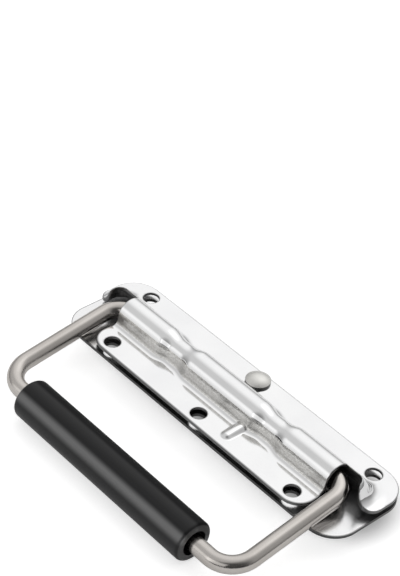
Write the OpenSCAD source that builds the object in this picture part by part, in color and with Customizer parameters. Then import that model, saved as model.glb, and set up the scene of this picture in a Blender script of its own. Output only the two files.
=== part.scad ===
// Spring-loaded chest handle: a bail with a grip, hinged in a formed sheet cover on a flat back plate.
// Origin at the middle of the mounting face, X along the hinge, Z out of the chest wall. Sizes in mm.

/* [Plates] */
// length of the back plate and of the cover's far flange
plate_length = 144; // [110:1:180]
// width of the plates across the hinge
plate_width = 38.4; // [38:0.2:60]
// corner radius of the back plate and of the far flange
plate_corner = 11; // [4:0.5:15]
// sheet thickness of the back plate
plate_thickness = 1.2; // [0.8:0.1:2]
// sheet thickness of the cover
cover_thickness = 1.2; // [0.8:0.1:1.6]
// space between the two sheets before the screws draw them together
plate_gap = 1.8; // [0.4:0.1:3]
// corner radius of the near flange
near_corner = 7.5; // [3:0.5:9]
// length that the near flange runs past each end of the barrel
near_overhang = 0.6; // [0:0.1:1.2]

/* [Screw holes] */
// hole diameter
hole_d = 6; // [4:0.1:7]
// distance of each row of holes from the long edge beside it
row_margin = 5.15; // [4.5:0.05:6]
// distance between neighbouring holes of the near row
near_pitch = 47.5; // [40:0.1:48]
// distance between the two holes of the far row
far_spacing = 117.3; // [100:0.1:120]

/* [Barrel] */
// inside radius of the barrel
barrel_bore = 4.6; // [4.4:0.1:5]
// height of the hinge axis over the top of the flanges
axis_rise = 3.1; // [2.8:0.1:4]
// distance of each pinched waist from the middle
pinch_offset = 24.7; // [23.5:0.1:28]
// length of the waist that bears on the rod
pinch_flat = 4; // [2:0.5:8]
// length of the slope on each side of a waist
pinch_ramp = 7; // [5:0.5:8]
// half angle of the slit under the barrel, seen from the hinge axis
slit_angle = 45; // [30:1:50]

/* [Hood and window] */
// space between the arm and the end of the barrel
window_side = 2.4; // [1:0.1:3]
// space between the arm and the end wall of the hood
hood_clearance = 1.5; // [0.4:0.1:2.5]
// inside radius of the hood's rounded end
hood_round = 3; // [0.5:0.1:3.5]
// space between the upright arm and the window's edge that stops it
stop_clearance = 0.3; // [0.1:0.05:0.6]
// length that the lobes run past the hinge axis to the near side
lobe_reach = 1.4; // [0:0.1:4]
// outer corner radius of the lobes
lobe_corner = 5; // [2:0.1:6]
// corner radius of the lobes beside the window
lobe_tip = 2; // [0.5:0.1:2.4]
// corner radius inside the window
window_corner = 2.5; // [0.5:0.1:3]

/* [Bail] */
// rod diameter
rod_d = 6.4; // [5.6:0.1:6.8]
// distance between the centre lines of the two arms
bail_width = 120.4; // [116:0.2:124]
// distance from the hinge axis to the centre line of the cross bar
bail_reach = 53.9; // [45:0.1:80]
// centre-line radius of the two bends beside the grip
bend_r = 10; // [7:0.1:12]
// centre-line radius of the two bends at the hinge
hinge_bend_r = 8; // [7:0.1:8.5]
// distance between the two rod ends inside the barrel
rod_end_spacing = 31.2; // [26:0.2:31.4]
// chamfer on the rod ends
rod_chamfer = 0.5; // [0.2:0.1:1]
// radial running clearance of the rod in the waists
rod_clearance = 0.07; // [0.02:0.01:0.1]
// space between the lowered arms and the plate's edge that they lie on
rest_clearance = 0.1; // [0.05:0.05:0.3]

/* [Grip] */
// grip diameter
grip_d = 15.4; // [12:0.2:20]
// grip length
grip_length = 88; // [60:1:96]
// distance of the grip's middle from the middle of the cross bar
grip_shift = -1.2; // [-3:0.1:3]
// radius on the grip's end edges
grip_round = 1.5; // [0.5:0.1:2.5]
// radial clearance of the grip on the rod
grip_clearance = 0.05; // [0.02:0.01:0.2]
// diameter of the recess in each end face
recess_d = 9.6; // [8:0.1:11]
// depth of the recess in each end face
recess_depth = 4; // [1:0.5:8]

/* [Rivet] */
// distance of the rivet from the far long edge
rivet_margin = 4.7; // [4.5:0.05:6]
// head diameter
rivet_head_d = 9.4; // [7:0.1:10]
// height of the domed head over its rim
rivet_dome = 1.7; // [1:0.1:2.5]
// height of the head's rim
rivet_rim = 0.9; // [0.2:0.1:1.4]
// shank diameter
rivet_shank_d = 5; // [3:0.1:5.6]
// diameter of the shoulder between the sheets
rivet_shoulder_d = 8; // [7:0.1:10]
// diameter of the countersunk tail
rivet_tail_d = 7; // [6:0.1:8]
// radial clearance of the rivet in the sheets
rivet_clearance = 0.05; // [0.02:0.01:0.1]

/* [Spring and rib] */
// wire diameter
wire_d = 1.6; // [1.2:0.1:1.8]
// smallest space between neighbouring coils
coil_gap = 0.3; // [0.1:0.05:0.6]
// distance of the fixed leg from the middle
leg_x = 14.4; // [9:0.1:14.5]
// length of the fixed leg across the near flange, from the hinge axis
leg_reach = 13.6; // [10:0.1:16]
// height of the fixed leg's end over the back plate
leg_lift = 1.2; // [0.1:0.1:2]
// length of the other leg in the groove of the rod
tang_length = 4; // [2:0.5:5]
// space between the fixed leg and the rib
rib_clearance = 0.2; // [0.1:0.05:0.4]
// space between the other leg and its groove
seat_clearance = 0.05; // [0.02:0.01:0.1]

/* [Hidden] */
rod_r = rod_d/2;
wire_r = wire_d/2;
arm_x = bail_width/2;
cover_bottom = plate_thickness + plate_gap;
cover_top = cover_bottom + cover_thickness;
axis_z = cover_top + axis_rise;
row_y = plate_width/2 - row_margin;
rivet_y = plate_width/2 - rivet_margin;
pinch_bore = rod_r + rod_clearance;
barrel_end = arm_x - rod_r - window_side;
hood_end = arm_x + rod_r + hood_clearance;
window_end = arm_x + rod_r + hood_clearance/2;
stop_y = rod_r + stop_clearance;
near_half = barrel_end + near_overhang;
rod_end = rod_end_spacing/2;
tall = axis_z + barrel_bore + cover_thickness;
cut = 1;

// tilt at which the lowered arms lie on the near edge of the back plate
edge_drop = axis_z - plate_thickness;
edge_distance = norm([plate_width/2, edge_drop]);
rest_tilt = acos((rod_r + rest_clearance)/edge_distance) - atan2(plate_width/2, edge_drop);

// fixed leg of the spring: a tangent to the coil that runs under the rib
coil_r = rod_r;
leg_drop = axis_z - plate_thickness - leg_lift - wire_r;
leg_distance = norm([leg_reach, leg_drop]);
leg_slope = acos(coil_r/leg_distance) - atan2(leg_reach, leg_drop);
leg_length = sqrt(leg_distance*leg_distance - coil_r*coil_r);
coil_bend = 1.2;
coil_start = -rod_end + wire_r + coil_gap;
coil_turns = floor((leg_x - coil_start)/(wire_d + coil_gap));
coil_from = 60;
coil_to = leg_slope - 90 - 360*coil_turns;
rib_bore = wire_r + rib_clearance;

ramp_steps = 10;
coil_steps = 18;
wire_sides = 10;
$fn = 96;

// radius of the barrel's inner face at x, narrowed at the two waists
function bore_at(x) =
    let (u = min(1, max(0, (abs(abs(x) - pinch_offset) - pinch_flat/2)/pinch_ramp)))
    pinch_bore + (barrel_bore - pinch_bore)*(1 - cos(180*u))/2;

waist_x = concat(
    [for (i = [0:ramp_steps]) pinch_offset - pinch_flat/2 - pinch_ramp*(1 - i/ramp_steps)],
    [for (i = [0:ramp_steps]) pinch_offset + pinch_flat/2 + pinch_ramp*i/ramp_steps]);

// half outline of the barrel from the middle to the closed hood, grown by the wall
function barrel_half(wall) = concat(
    [for (x = waist_x) [bore_at(x) + wall, x]],
    [for (a = [0:15:90]) [
        barrel_bore - hood_round + (hood_round + wall)*cos(a),
        hood_end - hood_round + (hood_round + wall)*sin(a)]],
    [[0, hood_end + wall]]);

function mirrored(points) = [for (i = [len(points) - 1:-1:0]) [points[i][0], -points[i][1]]];

module barrel_solid(wall) {
    translate([0, 0, axis_z])
        rotate([0, 90, 0])
            rotate_extrude()
                polygon(concat(mirrored(barrel_half(wall)), barrel_half(wall)));
}

// what a round corner takes off a square one, or leaves in an inside corner
module corner_piece(r) {
    difference() {
        square(r + cut);
        circle(r);
    }
}

// rectangle with a radius for each corner, counter-clockwise from the lower left
module round_rect(x0, x1, y0, y1, r) {
    centres = [[x0 + r[0], y0 + r[0]], [x1 - r[1], y0 + r[1]], [x1 - r[2], y1 - r[2]], [x0 + r[3], y1 - r[3]]];
    difference() {
        translate([x0, y0]) square([x1 - x0, y1 - y0]);
        for (i = [0:3])
            if (r[i] > 0)
                translate(centres[i]) rotate(180 + 90*i) corner_piece(r[i]);
    }
}

module plate_outline() {
    c = plate_corner;
    round_rect(-plate_length/2, plate_length/2, -plate_width/2, plate_width/2, [c, c, c, c]);
}

// plan of the cover: far flange with two lobes, middle under the barrel, near flange
module cover_outline() {
    c = plate_corner;
    n = near_corner;
    round_rect(-plate_length/2, plate_length/2, stop_y, plate_width/2, [0, 0, c, c]);
    translate([-barrel_end, -row_y]) square([2*barrel_end, row_y + stop_y + cut]);
    round_rect(-near_half, near_half, -plate_width/2, -barrel_bore - cover_thickness, [n, n, n/2, n/2]);
    for (side = [0, 1])
        mirror([side, 0]) {
            round_rect(window_end, plate_length/2, -lobe_reach, stop_y + cut, [lobe_tip, lobe_corner, 0, 0]);
            translate([window_end - window_corner, stop_y - window_corner]) corner_piece(window_corner);
        }
}

module screw_holes() {
    for (x = [-near_pitch, 0, near_pitch])
        translate([x, -row_y, -cut]) cylinder(d = hole_d, h = tall);
    for (x = [-far_spacing/2, far_spacing/2])
        translate([x, row_y, -cut]) cylinder(d = hole_d, h = tall);
}

module back_plate() {
    color([0.82, 0.83, 0.84])
        difference() {
            linear_extrude(plate_thickness) plate_outline();
            screw_holes();
            translate([0, rivet_y, 0]) rivet_body(rivet_clearance);
        }
}

// slit under the barrel that the sheet is folded up from
module barrel_slit() {
    upper = [for (x = waist_x) [x, bore_at(x)*sin(slit_angle)]];
    ends = [[barrel_end + cut, barrel_bore*sin(slit_angle)]];
    half = concat(upper, ends);
    near = [for (p = half) [p[0], -p[1]]];
    right = [for (i = [len(near) - 1:-1:0]) near[i]];
    left = [for (p = near) [-p[0], p[1]]];
    far_left = [for (i = [len(half) - 1:-1:0]) [-half[i][0], half[i][1]]];
    translate([0, 0, cover_bottom - cut])
        linear_extrude(axis_z - cover_bottom + cut)
            polygon(concat(half, right, left, far_left));
}

// rod of the fixed leg's line, grown to the rib's inner or outer face
module leg_line(r) {
    translate([leg_x, 0, axis_z])
        rotate([leg_slope, 0, 0])
            translate([0, 0, -coil_r]) {
                rotate([90, 0, 0]) cylinder(r = r, h = leg_length);
                translate([0, -leg_length, 0]) sphere(r);
            }
}

module cover() {
    color([0.88, 0.88, 0.89])
        difference() {
            union() {
                translate([0, 0, cover_bottom]) linear_extrude(cover_thickness) cover_outline();
                intersection() {
                    union() {
                        barrel_solid(cover_thickness);
                        leg_line(rib_bore + cover_thickness);
                    }
                    translate([0, 0, cover_bottom]) linear_extrude(tall) cover_outline();
                }
            }
            barrel_solid(0);
            barrel_slit();
            leg_line(rib_bore);
            screw_holes();
            translate([0, rivet_y, 0]) rivet_body(rivet_clearance);
        }
}

// headless rivet with its countersunk tail, grown by the clearance to cut its seats
module rivet_body(grow) {
    cylinder(r1 = rivet_tail_d/2 + grow, r2 = rivet_shank_d/2 + grow, h = (rivet_tail_d - rivet_shank_d)/2);
    translate([0, 0, -grow]) cylinder(r = rivet_shank_d/2 + grow, h = cover_top + 2*grow);
}

module rivet() {
    dome_r = (rivet_head_d*rivet_head_d/4 + rivet_dome*rivet_dome)/(2*rivet_dome);
    color([0.75, 0.75, 0.73])
        translate([0, rivet_y, 0]) {
            rivet_body(0);
            translate([0, 0, plate_thickness]) cylinder(d = rivet_shoulder_d, h = plate_gap);
            translate([0, 0, cover_top])
                intersection() {
                    cylinder(d = rivet_head_d, h = rivet_rim + rivet_dome);
                    translate([0, 0, rivet_rim + rivet_dome - dome_r]) sphere(dome_r);
                }
        }
}

module bend(r) {
    rotate_extrude(angle = 90) translate([r, 0]) circle(rod_r);
}

// right half of the bent rod, flat in the hinge plane
module half_rod() {
    hinge_run = arm_x - hinge_bend_r;
    bar_run = arm_x - bend_r;
    translate([rod_end, 0, 0]) rotate([0, 90, 0]) cylinder(r1 = rod_r - rod_chamfer, r2 = rod_r, h = rod_chamfer);
    translate([rod_end + rod_chamfer, 0, 0])
        rotate([0, 90, 0]) cylinder(r = rod_r, h = hinge_run - rod_end - rod_chamfer);
    translate([hinge_run, -hinge_bend_r, 0]) bend(hinge_bend_r);
    translate([arm_x, -hinge_bend_r, 0])
        rotate([90, 0, 0]) cylinder(r = rod_r, h = bail_reach - hinge_bend_r - bend_r);
    translate([bar_run, bend_r - bail_reach, 0]) rotate([0, 0, -90]) bend(bend_r);
    translate([0, -bail_reach, 0]) rotate([0, 90, 0]) cylinder(r = rod_r, h = bar_run);
}

module bail() {
    color([0.7, 0.68, 0.65])
        difference() {
            translate([0, 0, axis_z])
                rotate([rest_tilt, 0, 0]) {
                    half_rod();
                    mirror([1, 0, 0]) half_rod();
                }
            translate([-rod_end - tang_length - seat_clearance, 0, axis_z + coil_r])
                rotate([0, 90, 0]) cylinder(r = wire_r + seat_clearance, h = tang_length + cut);
        }
}

module grip() {
    outer = grip_d/2;
    bore = rod_r + grip_clearance;
    half = grip_length/2;
    color([0.1, 0.1, 0.11])
        translate([0, 0, axis_z])
            rotate([rest_tilt, 0, 0])
                translate([grip_shift, -bail_reach, 0])
                    rotate([0, 90, 0])
                        rotate_extrude()
                            difference() {
                                round_rect(bore, outer, -half, half, [0, grip_round, grip_round, 0]);
                                translate([0, half - recess_depth]) square([recess_d/2, recess_depth + cut]);
                                translate([0, -half - cut]) square([recess_d/2, recess_depth + cut]);
                            }
}

function radial(a) = [0, cos(a), sin(a)];
function tangent(a) = [0, sin(a), -cos(a)];

// wire's centre line with the outward direction at each point: leg in the groove, bend, coil, fixed leg
spring_line = concat(
    [[[-rod_end - tang_length, 0, coil_r], radial(90)]],
    [for (a = [0:22.5:90]) [
        [coil_start - coil_bend*(1 - sin(a)), 0, 0] + coil_r*radial(90) + coil_bend*(1 - cos(a))*tangent(90),
        radial(90)]],
    [for (i = [0:coil_steps*coil_turns])
        let (s = i/(coil_steps*coil_turns), a = coil_from + (coil_to - coil_from)*s)
        [[coil_start + (leg_x - coil_start)*s, 0, 0] + coil_r*radial(a), radial(a)]],
    [[[leg_x, 0, 0] + coil_r*radial(coil_to) + leg_length*tangent(coil_to), radial(coil_to)]]);

function unit(v) = v/norm(v);

module torsion_spring() {
    last = len(spring_line) - 1;
    points = [for (i = [0:last])
        let (
            along = unit(spring_line[min(last, i + 1)][0] - spring_line[max(0, i - 1)][0]),
            out = spring_line[i][1],
            side = unit(cross(along, out)))
        for (k = [0:wire_sides - 1])
            spring_line[i][0] + wire_r*(cos(360*k/wire_sides)*cross(side, along) + sin(360*k/wire_sides)*side)];
    sides = [for (i = [0:last - 1], k = [0:wire_sides - 1])
        let (a = i*wire_sides + k, b = i*wire_sides + (k + 1)%wire_sides)
        each [[a, b, b + wire_sides], [a, b + wire_sides, a + wire_sides]]];
    start = [for (k = [wire_sides - 1:-1:0]) k];
    end = [for (k = [0:wire_sides - 1]) last*wire_sides + k];
    color([0.55, 0.55, 0.57])
        translate([0, 0, axis_z])
            polyhedron(points = points, faces = concat(sides, [start, end]));
}

back_plate();
cover();
rivet();
bail();
grip();
torsion_spring();
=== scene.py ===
import math

import bpy
import numpy as np
from mathutils import Euler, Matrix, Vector


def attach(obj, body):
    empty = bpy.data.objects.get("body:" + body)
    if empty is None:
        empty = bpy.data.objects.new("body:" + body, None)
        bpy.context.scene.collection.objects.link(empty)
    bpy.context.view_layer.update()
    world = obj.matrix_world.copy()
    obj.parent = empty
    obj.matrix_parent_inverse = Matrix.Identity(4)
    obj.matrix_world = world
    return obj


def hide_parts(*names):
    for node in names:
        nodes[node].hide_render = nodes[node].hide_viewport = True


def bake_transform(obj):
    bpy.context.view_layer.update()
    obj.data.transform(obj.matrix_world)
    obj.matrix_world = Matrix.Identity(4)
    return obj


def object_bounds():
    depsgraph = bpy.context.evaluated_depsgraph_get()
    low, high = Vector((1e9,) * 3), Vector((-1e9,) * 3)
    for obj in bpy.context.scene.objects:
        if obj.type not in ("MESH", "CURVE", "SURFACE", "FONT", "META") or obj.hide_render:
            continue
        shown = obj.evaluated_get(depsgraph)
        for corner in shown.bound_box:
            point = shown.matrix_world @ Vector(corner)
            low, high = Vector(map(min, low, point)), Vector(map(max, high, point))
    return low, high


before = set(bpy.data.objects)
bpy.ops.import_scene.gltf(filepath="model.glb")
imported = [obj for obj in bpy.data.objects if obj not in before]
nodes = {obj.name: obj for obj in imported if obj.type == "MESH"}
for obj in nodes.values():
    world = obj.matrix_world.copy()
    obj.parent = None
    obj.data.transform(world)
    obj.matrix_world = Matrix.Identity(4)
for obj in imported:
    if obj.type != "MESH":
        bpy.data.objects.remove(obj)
cad_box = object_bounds()
scene = bpy.context.scene

MM_PER_M = 1000.0

# sizes in millimetres, from the part's source
THICK = 1.2
COVER_TOP = 4.2
HINGE_Z = 7.3
BARREL_R = 5.8
BARREL_END = 54.6
WAIST_R = 4.47
WAIST_X = 24.7
WAIST_FLAT = 2.0
WAIST_RAMP = 7.0
WINDOW_END = 64.15
STOP_Y = 3.5
HALF_Y = 19.2
CORNER = 11.0
NEAR_HALF = 55.2
NEAR_CORNER = 7.5
LOBE_Y = -1.4
LOBE_TIP = 2.0
LOBE_CORNER = 5.0
ROW_Y = 14.05
NEAR_PITCH = 47.5
FAR_X = 58.65
HOLE_R = 3.0
RIVET_R = 2.55
RIVET_Y = 14.5
RIB_X = 14.4
RIB_R = 2.2
RIB_START = (0.0, 4.1)
RIB_END = (-13.6, 3.2)
GRIP_Y = -53.35
GRIP_Z = -0.39

# half the part's length, less a hair that keeps the mesh inside the CAD box
HALF_X = 71.99

# sizes in millimetres that only the visual cover has
HOOD_END = 65.7
HOOD_ROUND = 4.6
WINDOW_FILLET = 4.2
FILLET_REACH = 1.5
LOBE_BACK = 6.0
BARREL_BACK = 10.0
NEAR_FOOT = 2.4
FAR_FOOT = 5.0
HOOD_FOOT = 7.0
HOOD_FOOT_X = (58.0, 63.0)
RIB_FILLET = 0.7
EDGE_ROUND = 0.3
SHARP = 0.01
NET_STEP = 0.4
NET_MARGIN = 0.5

# how much the barrel's walls widen for each millimetre below the hinge axis
DRAFT = 0.2

# where the cover's marks of painted shade fade in, in millimetres from its upper skin or its outline;
# the near rim, a painted dark line, is marked only on the near side of NEAR_RIM_Y
INNER_SKIN = (0.8, 1.1)
CUT_EDGE = (-0.4, -0.1)
NEAR_RIM = (-0.8, -0.3)
NEAR_RIM_Y = -7.8

# worked strip on the barrel's near wall, in millimetres, and its top in radians over the hinge axis
STRIP_TOP = (0.45, 0.40)
STRIP_FOOT_Z = (4.8, 5.1)
STRIP_Y = -5.5
STRIP_DEPTH = (1.9, 1.5)
STRIP_FADE = 0.4

# heights in millimetres between which the flanges' gloss turns into the barrel's
BARREL_FOOT_Z = (5.5, 8.5)

# dark rim of the back plate, painted shade along its outline, in millimetres in from its edge
PLATE_RIM = (0.5, 0.3)

# painted shadow on the floor under the plate, in millimetres
SHADE_Y = 8.0
SHADE_REACH = (10.0, 26.0)

FLOOR_HALF_M = 3.0

# noise stretched along x: rolled sheet, drawn rod, drawn sleeve; and across it: coiled wire
ROLLED = (120.0, 3000.0, 3000.0)
DRAWN_ROD = (90.0, 2500.0, 2500.0)
DRAWN_SLEEVE = (25.0, 900.0, 900.0)
COILED = (3000.0, 300.0, 300.0)

# camera solved from the photo, in metres and degrees, with its lens in millimetres
CAMERA_AT = (0.331244, -0.357104, 0.435741)
CAMERA_TURN = (51.57358, -4.91573, 48.40230)
CAMERA_LENS = 114.574
CAMERA_SENSOR = 36.0
CAMERA_CLIP = 0.01

# lamp over the near side, in metres and watts
LAMP_AT = (0.07, -0.573, 0.28)
LAMP_AIM = (0.0, -0.02, 0.0)
LAMP_SIZE = (0.50, 0.34)
LAMP_POWER = 0.36


def longest(a, b):
    """Length of a and b together, each counted from zero up."""
    return np.sqrt(np.maximum(a, 0.0)**2 + np.maximum(b, 0.0)**2)


def fade(value, low, high):
    """From 0 at low to 1 at high."""
    return np.clip((value - low)/(high - low), 0.0, 1.0)


def join(a, b, r):
    """Union of two solids with a fillet of radius r."""
    return np.maximum(r, np.minimum(a, b)) - longest(r - a, r - b)


def meet(a, b, r):
    """Intersection of two solids with an edge rounded to radius r."""
    return np.minimum(-r, np.maximum(a, b)) + longest(r + a, r + b)


def flow(a, b, r):
    """Union of two solids with a soft hollow that reaches r along each."""
    return np.minimum(a, b) - np.maximum(r - np.abs(a - b), 0.0)**2/(4*r)


def corner(a, b, r):
    """Distance to the solid inside two square faces whose corner has radius r."""
    return longest(a + r, b + r) + np.minimum(np.maximum(a, b) + r, 0.0) - r


def plan_rect(x, y, x0, x1, y0, y1, near_left, near_right, far):
    """Distance to a rectangle with a radius at each near corner and one for both far corners."""
    middle = (x0 + x1)/2
    across = np.abs(x - middle) - (x1 - x0)/2
    near = corner(across, y0 - y, np.where(x < middle, near_left, near_right))
    return np.maximum(near, corner(across, y - y1, far))


def cover_outline(x, y):
    """Distance to the cover's outline seen from above."""
    side = np.abs(x)
    far = plan_rect(x, y, -HALF_X, HALF_X, STOP_Y, HALF_Y, SHARP, SHARP, CORNER)
    lobe = plan_rect(
        side, y, WINDOW_END, HALF_X, LOBE_Y, LOBE_BACK, LOBE_TIP, LOBE_CORNER, SHARP)
    middle = plan_rect(
        x, y, -BARREL_END, BARREL_END, -ROW_Y, BARREL_BACK, SHARP, SHARP, SHARP)
    near = plan_rect(
        x, y, -NEAR_HALF, NEAR_HALF, -HALF_Y, -BARREL_R, NEAR_CORNER, NEAR_CORNER, NEAR_CORNER/2)
    fillet = np.where(side < WINDOW_END + FILLET_REACH, WINDOW_FILLET, SHARP)
    return np.minimum(join(far, lobe, fillet), np.minimum(middle, near))


def cover_plan(x, y):
    """Distance to the cover's outline with its holes."""
    side = np.abs(x)
    holes = np.minimum(np.hypot(side - NEAR_PITCH, y + ROW_Y), np.hypot(x, y + ROW_Y))
    holes = np.minimum(holes, np.hypot(side - FAR_X, y - ROW_Y)) - HOLE_R
    holes = np.minimum(holes, np.hypot(x, y - RIVET_Y) - RIVET_R)
    return np.maximum(cover_outline(x, y), -holes)


def waist(x):
    """Outside radius of the barrel at x, and its slope."""
    u = np.clip((np.abs(np.abs(x) - WAIST_X) - WAIST_FLAT)/WAIST_RAMP, 0.0, 1.0)
    deep = BARREL_R - WAIST_R
    radius = WAIST_R + deep*(1.0 - np.cos(np.pi*u))/2
    return radius, deep*np.sin(np.pi*u)*np.pi/(2*WAIST_RAMP)


def cover_skin(x, y, z):
    """Distance to the upper skin of the formed sheet: flanges, barrel with waists and hoods, rib."""
    side = np.abs(x)
    radius, lean = waist(x)
    rise = z - HINGE_Z
    out = np.where(rise > 0.0, np.hypot(y, rise), np.abs(y) + DRAFT*rise)
    barrel = corner((out - radius)/np.sqrt(1.0 + lean**2), side - HOOD_END, HOOD_ROUND)
    t = np.clip(y/RIB_END[0], 0.0, 1.0)
    rib_y = RIB_START[0] + t*(RIB_END[0] - RIB_START[0])
    rib_z = RIB_START[1] + t*(RIB_END[1] - RIB_START[1])
    rib = np.sqrt((x - RIB_X)**2 + (y - rib_y)**2 + (z - rib_z)**2) - RIB_R
    foot = np.where(y < 0.0, NEAR_FOOT, FAR_FOOT)
    foot = foot + (HOOD_FOOT - foot)*fade(side, *HOOD_FOOT_X)
    return join(flow(z - COVER_TOP, barrel, foot), rib, RIB_FILLET)


def cover_solid(p):
    """Distance to the cover's sheet with its edges rounded."""
    x, y, z = p[..., 0], p[..., 1], p[..., 2]
    skin = cover_skin(x, y, z)
    return meet(np.maximum(skin, -skin - THICK), cover_plan(x, y), EDGE_ROUND)


def slope(solid, p, h=0.01):
    """Direction in which a solid's distance grows."""
    steps = np.eye(3)*h
    g = np.stack([solid(p + s) - solid(p - s) for s in steps], -1)
    return g/np.maximum(np.linalg.norm(g, axis=-1, keepdims=True), 1e-9)


def net_of(solid, low, high, step, passes=4):
    """Points and quads of a solid's surface: one point in each grid cell that the surface crosses."""
    axes = [np.arange(a, b + step, step) for a, b in zip(low, high)]

    def layer(x):
        grid = np.meshgrid([x], axes[1], axes[2], indexing="ij")
        return solid(np.stack(grid, -1))[0]

    field = np.stack([layer(x) for x in axes[0]])
    count = np.array(field.shape)
    total = np.zeros((*(count - 1), 3))
    hits = np.zeros(count - 1)
    quads = []
    cells = np.arange(np.prod(count - 1)).reshape(count - 1)
    for axis in range(3):
        b, c = (axis + 1) % 3, (axis + 2) % 3
        one = [slice(1, n - 1) for n in count]
        one[axis] = slice(0, count[axis] - 1)
        two = list(one)
        two[axis] = slice(1, count[axis])
        f0, f1 = field[tuple(one)], field[tuple(two)]
        at = np.argwhere((f0 < 0) != (f1 < 0))
        f0, f1 = f0[tuple(at.T)], f1[tuple(at.T)]
        offset = np.ones(3, int)
        offset[axis] = 0
        at = at + offset
        spot = at.astype(float)
        spot[:, axis] += f0/(f0 - f1)
        ring = []
        for db, dc in ((1, 1), (0, 1), (0, 0), (1, 0)):
            cell = at.copy()
            cell[:, b] -= db
            cell[:, c] -= dc
            np.add.at(total, tuple(cell.T), spot)
            np.add.at(hits, tuple(cell.T), 1)
            ring.append(cells[tuple(cell.T)])
        ring = np.stack(ring, 1)
        quads.append(np.where((f0 < 0)[:, None], ring, ring[:, ::-1]))
    used = np.flatnonzero(hits)
    place = np.full(cells.size, -1)
    place[used] = np.arange(len(used))
    points = total.reshape(-1, 3)[used]/hits.reshape(-1)[used][:, None]*step + np.array(low)
    for _ in range(passes):
        points -= slope(solid, points)*solid(points)[:, None]
    return points, place[np.concatenate(quads)]


def sheet_piece(name, solid, low, high, step):
    """Object with the mesh of a solid and the solid's own normals, and its points in millimetres."""
    points, quads = net_of(solid, low, high, step)
    sides = quads.shape[1]
    mesh = bpy.data.meshes.new(name)
    mesh.vertices.add(len(points))
    mesh.vertices.foreach_set("co", (points/MM_PER_M).astype(np.float32).ravel())
    mesh.loops.add(quads.size)
    mesh.loops.foreach_set("vertex_index", quads.astype(np.int32).ravel())
    mesh.polygons.add(len(quads))
    mesh.polygons.foreach_set("loop_start", np.arange(0, quads.size, sides, dtype=np.int32))
    mesh.polygons.foreach_set("use_smooth", np.ones(len(quads), bool))
    mesh.update()
    mesh.validate()
    mesh.normals_split_custom_set_from_vertices(slope(solid, points).tolist())
    obj = bpy.data.objects.new(name, mesh)
    scene.collection.objects.link(obj)
    return obj, points


def mark(obj, name, values):
    """Keep one number for each point of a mesh, for its material to read."""
    attribute = obj.data.attributes.new(name, "FLOAT", "POINT")
    attribute.data.foreach_set("value", values.astype(np.float32))


def make_cover():
    """Formed sheet in one mesh, with marks for its inner skin and its cut edges, which its material
    paints dark as shade and makes rougher.
    """
    low = (-HALF_X - NET_MARGIN, -HALF_Y - NET_MARGIN, COVER_TOP - THICK - NET_MARGIN)
    high = (HALF_X + NET_MARGIN, HALF_Y + NET_MARGIN, HINGE_Z + BARREL_R + NET_MARGIN)
    obj, p = sheet_piece("cover_sheet", cover_solid, low, high, NET_STEP)
    x, y, z = p.T
    mark(obj, "inner", fade(-cover_skin(x, y, z), *INNER_SKIN))
    edge = fade(cover_plan(x, y), *CUT_EDGE)
    # painted shade: a dark line just inside the near outline
    near_rim_shade = fade(cover_outline(x, y), *NEAR_RIM)
    mark(obj, "edge", np.where(y < NEAR_RIM_Y, np.maximum(edge, near_rim_shade), edge))
    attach(obj, "base")
    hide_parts("cover")
    return obj


class Net:
    """Short hand for building one node tree."""

    def __init__(self, tree):
        self.tree = tree

    def fill(self, node, values):
        """Set a node's inputs: a socket is linked, and anything else is the input's own value."""
        for key, value in values.items():
            if isinstance(value, bpy.types.NodeSocket):
                self.tree.links.new(value, node.inputs[key])
            else:
                node.inputs[key].default_value = value

    def add(self, kind, values=None, **settings):
        node = self.tree.nodes.new(kind)
        for key, value in settings.items():
            setattr(node, key, value)
        self.fill(node, values or {})
        return node

    def parts(self, vector):
        return self.add("ShaderNodeSeparateXYZ", {0: vector}).outputs

    def facing(self):
        """Parts of the direction that a face looks in."""
        return self.parts(self.add("ShaderNodeNewGeometry").outputs["True Normal"])

    def attribute(self, name):
        return self.add("ShaderNodeAttribute", attribute_name=name).outputs["Fac"]

    def math(self, operation, a, b=0.0, c=0.0):
        return self.add("ShaderNodeMath", {0: a, 1: b, 2: c}, operation=operation).outputs[0]

    def plus(self, a, b):
        return self.math("ADD", a, b)

    def minus(self, a, b):
        return self.math("SUBTRACT", a, b)

    def times(self, a, b):
        return self.math("MULTIPLY", a, b)

    def larger(self, a, b):
        return self.math("MAXIMUM", a, b)

    def size(self, a):
        return self.math("ABSOLUTE", a)

    def reach(self, a, b):
        """Length of a and b together, each counted from zero up."""
        a = self.larger(a, 0.0)
        b = self.larger(b, 0.0)
        return self.math("SQRT", self.math("MULTIPLY_ADD", a, a, self.times(b, b)))

    def span(self, value, low, high, to_low=0.0, to_high=1.0):
        """Smooth step from to_low at low to to_high at high."""
        values = {0: value, 1: low, 2: high, 3: to_low, 4: to_high}
        return self.add("ShaderNodeMapRange", values, interpolation_type="SMOOTHSTEP").outputs[0]

    def noise(self, vector, scale=1.0, detail=3.0, rough=0.55):
        values = {"Vector": vector, "Scale": scale, "Detail": detail, "Roughness": rough}
        return self.add("ShaderNodeTexNoise", values).outputs["Fac"]

    def stretched(self, vector, scale):
        return self.add("ShaderNodeMapping", {"Vector": vector, "Scale": scale}).outputs[0]

    def tones(self, value, dark, light, low=0.3, high=0.7):
        """Colour that goes from dark at low to light at high."""
        node = self.add("ShaderNodeValToRGB", {0: value})
        for element, place, colour in zip(node.color_ramp.elements, (low, high), (dark, light)):
            element.position = place
            element.color = (*colour, 1.0)
        return node.outputs[0]

    def mix(self, share, first, second):
        """Mix of two colours."""
        values = {0: share, 6: first, 7: second}
        return self.add("ShaderNodeMix", values, data_type="RGBA").outputs[2]

    def bump(self, height, strength, distance):
        values = {"Height": height, "Strength": strength, "Distance": distance}
        return self.add("ShaderNodeBump", values)


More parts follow.
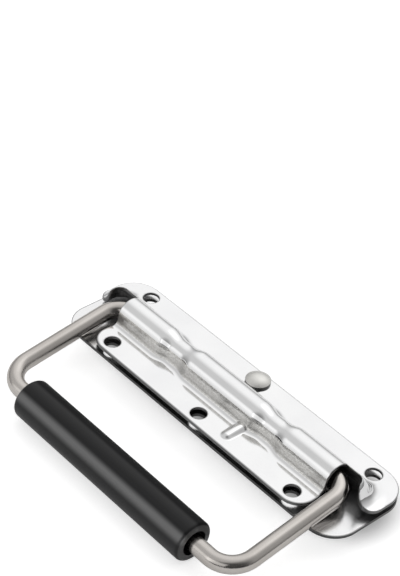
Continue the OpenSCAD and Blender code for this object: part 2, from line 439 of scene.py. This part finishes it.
def material(name):
    """New material with its node tree, its shader and the piece's own coordinates."""
    made = bpy.data.materials.new(name)
    made.use_nodes = True
    net = Net(made.node_tree)
    shader = made.node_tree.nodes["Principled BSDF"]
    place = net.add("ShaderNodeTexCoord").outputs["Object"]
    return made, net, shader, place


def grey(level):
    return (level, level, level)


def metres(limits):
    return [limit/MM_PER_M for limit in limits]


def near_wall(net, place):
    """Mask of the worked strip on the barrel's near wall, its painted shading (darker toward its
    foot, lighter toward its top), and a mask of the barrel.
    """
    x, y, z = net.parts(place)
    turn = net.math("ARCTAN2", net.minus(z, HINGE_Z/MM_PER_M), net.times(y, -1.0))
    depth = net.size(net.minus(y, STRIP_Y/MM_PER_M))
    ends = metres((BARREL_END, BARREL_END - STRIP_FADE))
    wall = net.span(turn, *STRIP_TOP)
    wall = net.times(wall, net.span(z, *metres(STRIP_FOOT_Z)))
    wall = net.times(wall, net.span(depth, *metres(STRIP_DEPTH)))
    wall = net.times(wall, net.span(net.size(x), *ends))
    # painted shade and highlight: the strip's tone is scaled by its angle over the hinge axis
    level = net.span(turn, -0.1, 0.36, to_low=0.82, to_high=1.08)
    return wall, level, net.span(z, *metres(BARREL_FOOT_Z))


def sheet_grain(net, place):
    """Rolling lines, haze and slight waves of both polished sheets."""
    lines = net.noise(net.stretched(place, ROLLED), detail=4.0)
    haze = net.noise(place, scale=60.0)
    waves = net.bump(net.noise(place, scale=45.0, detail=1.0), strength=0.05, distance=0.002)
    return lines, haze, waves.outputs[0]


def polished_sheet():
    """Bright polished cover; its mesh marks its cut edges and its inner skin, which it paints near
    black as shade and makes rougher.
    """
    made, net, shader, place = material("polished_sheet")
    edge = net.attribute("edge")
    inner = net.attribute("inner")
    wall, level, barrel = near_wall(net, place)
    lines, haze, waves = sheet_grain(net, place)
    pits = net.span(net.noise(place, scale=1500.0, detail=4.0, rough=0.7), 0.40, 0.62)
    worked = net.tones(pits, (0.66, 0.65, 0.625), (0.86, 0.85, 0.825), low=0.0, high=1.0)
    # the worked tone takes the strip's painted shading
    values = {0: worked, "Scale": level}
    worked = net.add("ShaderNodeVectorMath", values, operation="SCALE").outputs[0]
    tone = net.tones(haze, (0.82, 0.82, 0.825), (0.87, 0.87, 0.87))
    tone = net.mix(wall, tone, worked)
    # painted shade: cut edges and hole walls near black
    tone = net.mix(edge, tone, net.tones(lines, grey(0.16), grey(0.24)))
    # painted shade: the inner skin, inside the barrel and hoods and under the flanges, near black
    tone = net.mix(inner, tone, net.tones(haze, grey(0.14), grey(0.20)))
    rough = net.plus(net.times(lines, 0.06), net.times(haze, 0.08))
    rough = net.plus(rough, net.times(barrel, 0.03))
    for mask, dull in ((wall, 0.34), (edge, 0.35), (inner, 0.5)):
        rough = net.larger(rough, net.times(mask, dull))
    relief = net.bump(net.times(pits, wall), strength=0.14, distance=0.00008)
    net.fill(relief, {"Normal": waves})
    net.fill(shader, {"Base Color": tone, "Roughness": rough, "Metallic": 1.0})
    net.fill(shader, {"Normal": relief.outputs[0]})
    return made


def plate_sheet():
    """Bright polished plate with painted shade on its side faces and on a thin rim of its top, which
    are also rougher.
    """
    made, net, shader, place = material("plate_sheet")
    x, y, _ = net.parts(place)
    out_x = net.minus(net.size(x), (HALF_X - CORNER)/MM_PER_M)
    out_y = net.minus(net.size(y), (HALF_Y - CORNER)/MM_PER_M)
    # painted shade: a dark line along the plate's outline
    rim_shade = net.span(net.reach(out_x, out_y), *metres([CORNER - deep for deep in PLATE_RIM]))
    # painted shade: side faces and hole walls near black
    side_shade = net.span(net.size(net.facing()[2]), 0.8, 0.5)
    edge = net.larger(net.times(rim_shade, 0.6), side_shade)
    lines, haze, waves = sheet_grain(net, place)
    tone = net.tones(haze, (0.80, 0.80, 0.805), (0.85, 0.85, 0.85))
    tone = net.mix(edge, tone, net.tones(lines, grey(0.06), grey(0.12)))
    rough = net.plus(net.times(lines, 0.16), net.times(haze, 0.28))
    rough = net.larger(rough, net.times(edge, 0.35))
    net.fill(shader, {"Base Color": tone, "Roughness": rough, "Metallic": 1.0, "Normal": waves})
    return made


def satin_rod():
    """Warm grey drawn rod."""
    made, net, shader, place = material("satin_rod")
    along = net.noise(net.stretched(place, DRAWN_ROD), detail=4.0)
    tone = net.tones(net.noise(place, scale=55.0), (0.52, 0.49, 0.46), (0.59, 0.56, 0.53))
    rough = net.span(along, 0.3, 0.7, to_low=0.14, to_high=0.22)
    relief = net.bump(net.noise(place, scale=900.0), strength=0.15, distance=0.00008)
    net.fill(shader, {"Base Color": tone, "Roughness": rough, "Metallic": 1.0})
    net.fill(shader, {"Normal": relief.outputs[0]})
    return made


def black_grip():
    """Satin black sleeve with paler end faces, and a glossier band along its near side that paints
    the lamp's highlight stripe into its gloss.
    """
    made, net, shader, place = material("black_grip")
    grain = net.noise(place, scale=2600.0, detail=4.0)
    drawn = net.noise(net.stretched(place, DRAWN_SLEEVE))
    end = net.span(net.size(net.facing()[0]), 0.7, 0.95)
    tone = net.tones(drawn, (0.005, 0.005, 0.0055), (0.009, 0.009, 0.010))
    tone = net.mix(end, tone, net.tones(grain, grey(0.070), grey(0.10)))
    rough = net.span(drawn, 0.3, 0.7, to_low=0.33, to_high=0.43)
    _, y, z = net.parts(place)
    turn = net.math("ARCTAN2", net.minus(z, GRIP_Z/MM_PER_M), net.minus(GRIP_Y/MM_PER_M, y))
    # painted highlight: gloss raised in the band where the lamp's highlight falls, and higher on the
    # near side than the far side
    highlight_band = net.times(net.span(turn, 0.30, 0.68), net.span(turn, 1.05, 0.78))
    round_side = net.span(turn, 1.85, 1.6, to_low=0.06, to_high=0.32)
    gloss = net.math("MULTIPLY_ADD", highlight_band, 1.5, round_side)
    relief = net.bump(grain, strength=0.2, distance=0.00005)
    net.fill(shader, {"Base Color": tone, "Roughness": rough, "Specular IOR Level": gloss})
    net.fill(shader, {"Normal": relief.outputs[0]})
    return made


def rivet_metal():
    """Satin rivet head whose steep sides are painted dark as shade."""
    made, net, shader, place = material("rivet_metal")
    grain = net.noise(place, scale=1500.0)
    # painted shade: the steep sides of the head near black
    rim_shade = net.span(net.facing()[2], 0.5, 0.2)
    tone = net.tones(grain, (0.70, 0.69, 0.66), (0.78, 0.77, 0.74))
    tone = net.mix(rim_shade, tone, net.tones(grain, grey(0.10), grey(0.16)))
    rough = net.span(grain, 0.3, 0.7, to_low=0.32, to_high=0.44)
    relief = net.bump(grain, strength=0.1, distance=0.00005)
    net.fill(shader, {"Base Color": tone, "Roughness": rough, "Metallic": 1.0})
    net.fill(shader, {"Normal": relief.outputs[0]})
    return made


def spring_wire():
    """Dark drawn wire."""
    made, net, shader, place = material("spring_wire")
    drawn = net.noise(net.stretched(place, COILED))
    tone = net.tones(drawn, (0.30, 0.30, 0.31), (0.45, 0.45, 0.46))
    rough = net.span(drawn, 0.3, 0.7, to_low=0.25, to_high=0.45)
    net.fill(shader, {"Base Color": tone, "Roughness": rough, "Metallic": 1.0})
    return made


def make_spring():
    """Copy of the spring's coil in place of its frame piece, which is hidden. On the part, the leg
    under the rib stays and the leg in the rod turns with the bail.
    """
    obj = bpy.data.objects.new("spring_coil", nodes["torsion_spring"].data.copy())
    scene.collection.objects.link(obj)
    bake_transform(obj)
    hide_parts("torsion_spring")


def dress(node, made):
    """Give one of the frame's pieces its material."""
    obj = nodes[node]
    obj.data.materials.clear()
    obj.data.materials.append(made)


def make_floor():
    """Plain white floor with a painted shadow: darker, and with less added white, right under the
    plate.
    """
    low = cad_box[0].z
    half = FLOOR_HALF_M
    corners = [(-half, -half, low), (half, -half, low), (half, half, low), (-half, half, low)]
    mesh = bpy.data.meshes.new("floor")
    mesh.from_pydata(corners, [], [(0, 1, 2, 3)])
    floor = bpy.data.objects.new("floor", mesh)
    scene.collection.objects.link(floor)
    made, net, shader, place = material("floor_white")
    x, y, _ = net.parts(place)
    out_x = net.minus(net.size(x), (HALF_X - HALF_Y)/MM_PER_M)
    out_y = net.size(net.minus(y, SHADE_Y/MM_PER_M))
    # painted shadow: under the plate, where clear falls to 0, the floor's tone and its added white
    # both drop
    clear = net.span(net.reach(out_x, out_y), *metres(SHADE_REACH))
    tone = net.tones(clear, grey(0.35), grey(0.9), low=0.0, high=1.0)
    net.fill(shader, {"Base Color": tone, "Roughness": 0.9, "Specular IOR Level": 0.0})
    rays = net.add("ShaderNodeLightPath").outputs
    seen = net.math("MULTIPLY_ADD", rays["Is Glossy Ray"], 0.3, rays["Is Camera Ray"])
    strength = net.times(seen, net.math("MULTIPLY_ADD", clear, 0.48, 0.14))
    glow = net.add("ShaderNodeEmission", {"Color": (1.0, 1.0, 1.0, 1.0), "Strength": strength})
    both = net.add("ShaderNodeAddShader", {0: shader.outputs[0], 1: glow.outputs[0]})
    net.fill(made.node_tree.nodes["Material Output"], {"Surface": both.outputs[0]})
    mesh.materials.append(made)


def way_to(azimuth, elevation):
    """Direction with an azimuth and an elevation in degrees."""
    a, e = math.radians(azimuth), math.radians(elevation)
    return (math.cos(e)*math.cos(a), math.cos(e)*math.sin(a), math.sin(e))


def make_world():
    """Pale studio: bright over the far side and low at the near left, dark on the camera's side.

    It is dimmer at the horizon and to the right, and white where the camera sees it.
    """
    world = bpy.data.worlds.new("studio")
    scene.world = world
    world.use_nodes = True
    net = Net(world.node_tree)
    way = net.add("ShaderNodeTexCoord").outputs["Generated"]
    right, _, height = net.parts(way)

    def patch(azimuth, elevation, outer, inner, to_outer, to_inner):
        """Level round a direction, with the cosines where it starts and ends to change."""
        values = {0: way, 1: way_to(azimuth, elevation)}
        dot = net.add("ShaderNodeVectorMath", values, operation="DOT_PRODUCT").outputs["Value"]
        return net.span(dot, outer, inner, to_outer, to_inner)

    bright = patch(108.0, 46.0, 0.55, 0.95, 0.67, 1.07)
    bright = net.plus(bright, patch(96.0, 57.0, 0.90, 0.99, 0.0, 0.25))
    level = net.times(bright, patch(312.0, 20.0, 0.50, 0.90, 1.0, 0.17))
    level = net.times(level, net.span(height, 0.0, 0.55, to_low=0.50, to_high=1.0))
    level = net.times(level, net.span(right, 0.0, 0.45, to_low=1.0, to_high=0.72))
    level = net.plus(level, patch(238.0, 14.0, 0.88, 0.995, 0.0, 0.50))
    direct = net.add("ShaderNodeLightPath").outputs["Is Camera Ray"]
    strength = net.add("ShaderNodeMix", {0: direct, 2: level, 3: 1.0}).outputs[0]
    back = world.node_tree.nodes["Background"]
    net.fill(back, {"Color": (1.0, 1.0, 1.0, 1.0), "Strength": strength})


def make_lamp():
    lamp = bpy.data.lights.new("near_lamp", "AREA")
    lamp.shape = "RECTANGLE"
    lamp.size, lamp.size_y = LAMP_SIZE
    lamp.energy = LAMP_POWER
    obj = bpy.data.objects.new("near_lamp", lamp)
    scene.collection.objects.link(obj)
    obj.location = LAMP_AT
    obj.rotation_mode = "QUATERNION"
    obj.rotation_quaternion = (Vector(LAMP_AIM) - Vector(LAMP_AT)).to_track_quat("-Z", "Y")


def make_camera():
    data = bpy.data.cameras.new("camera")
    data.lens = CAMERA_LENS
    data.sensor_width = CAMERA_SENSOR
    data.clip_start = CAMERA_CLIP
    camera = bpy.data.objects.new("camera", data)
    scene.collection.objects.link(camera)
    camera.location = CAMERA_AT
    camera.rotation_euler = Euler([math.radians(a) for a in CAMERA_TURN], "XYZ")
    scene.camera = camera


dress("back_plate", plate_sheet())
make_cover().data.materials.append(polished_sheet())
dress("rivet", rivet_metal())
dress("bail", satin_rod())
dress("grip", black_grip())
dress("torsion_spring", spring_wire())
make_spring()
make_floor()
make_world()
make_lamp()
make_camera()
scene.view_settings.view_transform = "Standard"
